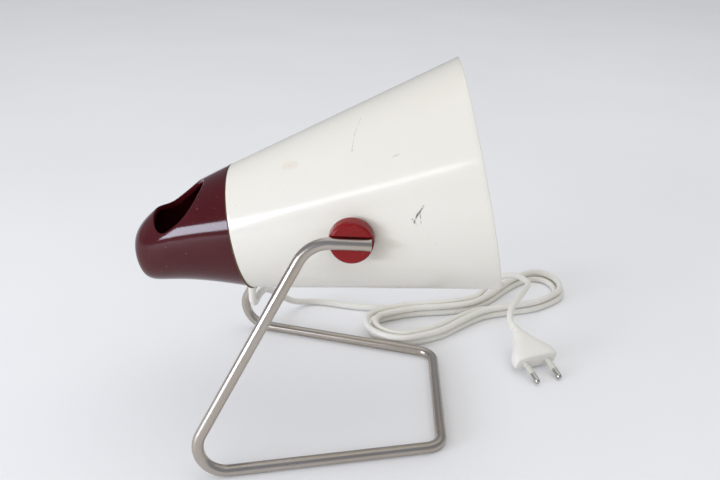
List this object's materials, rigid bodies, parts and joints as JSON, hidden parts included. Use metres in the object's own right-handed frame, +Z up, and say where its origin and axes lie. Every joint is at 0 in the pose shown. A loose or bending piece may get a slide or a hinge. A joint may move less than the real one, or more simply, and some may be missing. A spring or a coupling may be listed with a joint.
{
  "type": "infrared heat lamp",
  "caption": "Table heat lamp: cone-shaped metal shade with moulded rear cap and grip hole, tilting on a bent wire stand, with reflector bulb, coiled cord and flat plug",
  "frame": {"origin": "on the floor, under the middle of the lamp without its cord", "axes": "+Z up, the lamp shines towards +X, +Y is the lamp's left side"},
  "size_m": [0.3212, 0.2942, 0.234],
  "materials": {
    "wire_nickel": "satin nickel plate",
    "knob_red": "gloss",
    "steel_zinc": "zinc plate",
    "spring_steel": "oiled",
    "washer_fibre": "matt",
    "shade_cream": "gloss stove enamel",
    "bush_grey": "matt",
    "ring_brown": "matt",
    "cap_burgundy": "high gloss",
    "porcelain": "glazed",
    "brass": "bright",
    "glass_red": "stained red",
    "glass_silvered": "silvered glass",
    "glass_black": "vitrified",
    "tungsten": "dull",
    "gland_beige": "satin",
    "clamp_ivory": "satin",
    "cord_ivory": "soft satin",
    "plug_ivory": "satin",
    "pin_nickel": "bright",
    "sleeve_ivory": "satin"
  },
  "bodies": {
    "stand": {"stand_wire": "wire_nickel", "knob_left": "knob_red", "knob_right": "knob_red", "pivot_studs": "steel_zinc", "friction_washers": "washer_fibre", "stack_washers": "steel_zinc", "stack_springs": "spring_steel", "pivot_nuts": "steel_zinc", "cord_lead": "cord_ivory", "cord_hank": "cord_ivory", "cord_tail": "cord_ivory", "plug_body": "plug_ivory", "plug_pins": "pin_nickel", "plug_sleeves": "sleeve_ivory"},
    "head": {"shade": "shade_cream", "pivot_bush_left": "bush_grey", "pivot_bush_right": "bush_grey", "pivot_plates": "steel_zinc", "joint_ring": "ring_brown", "rear_cap": "cap_burgundy", "cap_screws": "steel_zinc", "holder_bracket": "steel_zinc", "holder_screws": "steel_zinc", "lampholder": "porcelain", "holder_shell": "brass", "holder_contact": "brass", "bulb_lens": "glass_red", "bulb_reflector": "glass_silvered", "bulb_base": "brass", "bulb_contact": "glass_black", "bulb_filament": "tungsten", "cord_gland": "gland_beige", "cord_clamp": "clamp_ivory", "clamp_screws": "steel_zinc", "inner_leads": "cord_ivory"}
  },
  "joints": [
    {"name": "head_tilt", "type": "hinge", "parent": "stand", "child": "head", "pos_m": [0.02326, 0, 0.1439], "axis": [0, -1, 0], "range_deg": [-60, 50], "deforming": ["cord_lead"]}
  ]
}
